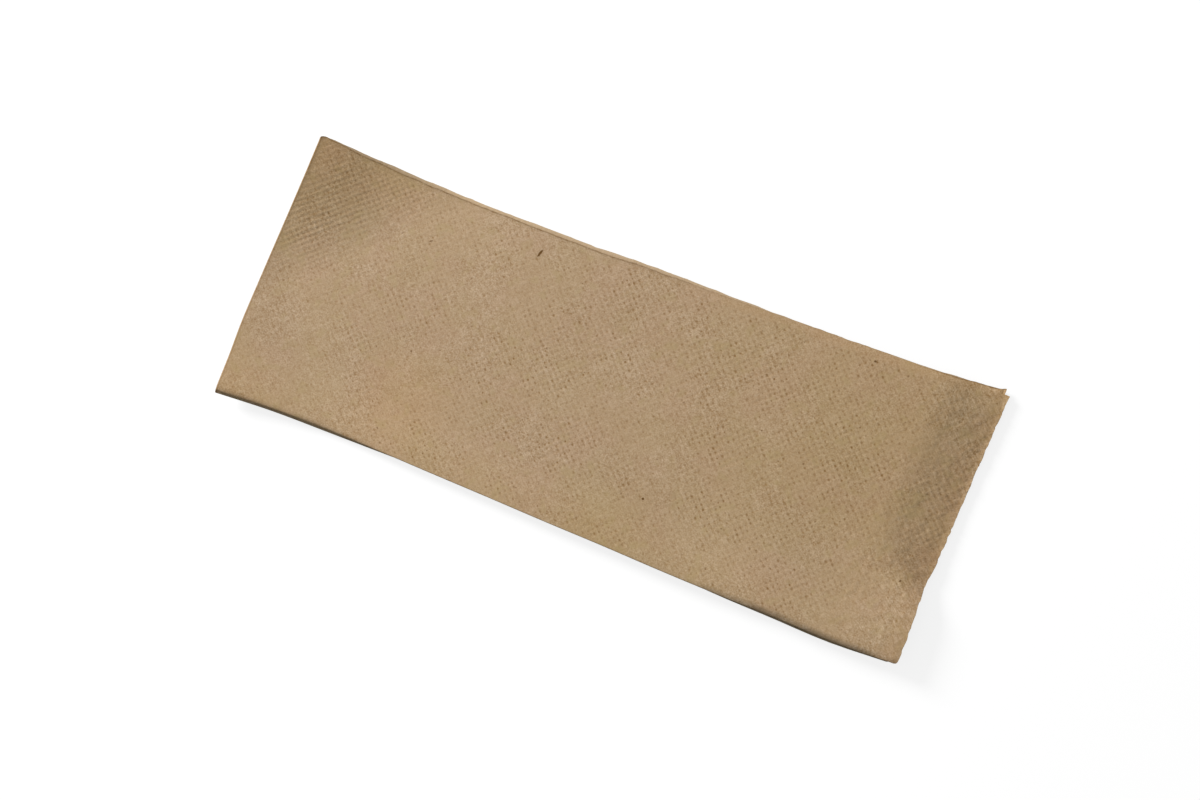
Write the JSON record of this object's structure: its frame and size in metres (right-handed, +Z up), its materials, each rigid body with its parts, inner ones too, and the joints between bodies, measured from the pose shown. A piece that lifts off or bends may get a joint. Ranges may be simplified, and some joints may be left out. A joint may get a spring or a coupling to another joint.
{
  "type": "paper napkin",
  "caption": "Brown unbleached paper napkin, dot-embossed, folded lengthwise and across into a long flat strip with open edges on two sides.",
  "frame": {"origin": "centre of the folded napkin's box, on the table that it lies on", "axes": "+X along the folded napkin from the cross fold to the cut end, +Y across it from the lengthwise fold to the open edges, +Z up through the layers"},
  "size_m": [0.165, 0.063, 0.0029],
  "materials": {
    "kraft_paper": "matt unbleached paper with fine embossed dots"
  },
  "bodies": {
    "root": {"napkin": "kraft_paper"}
  },
  "joints": []
}
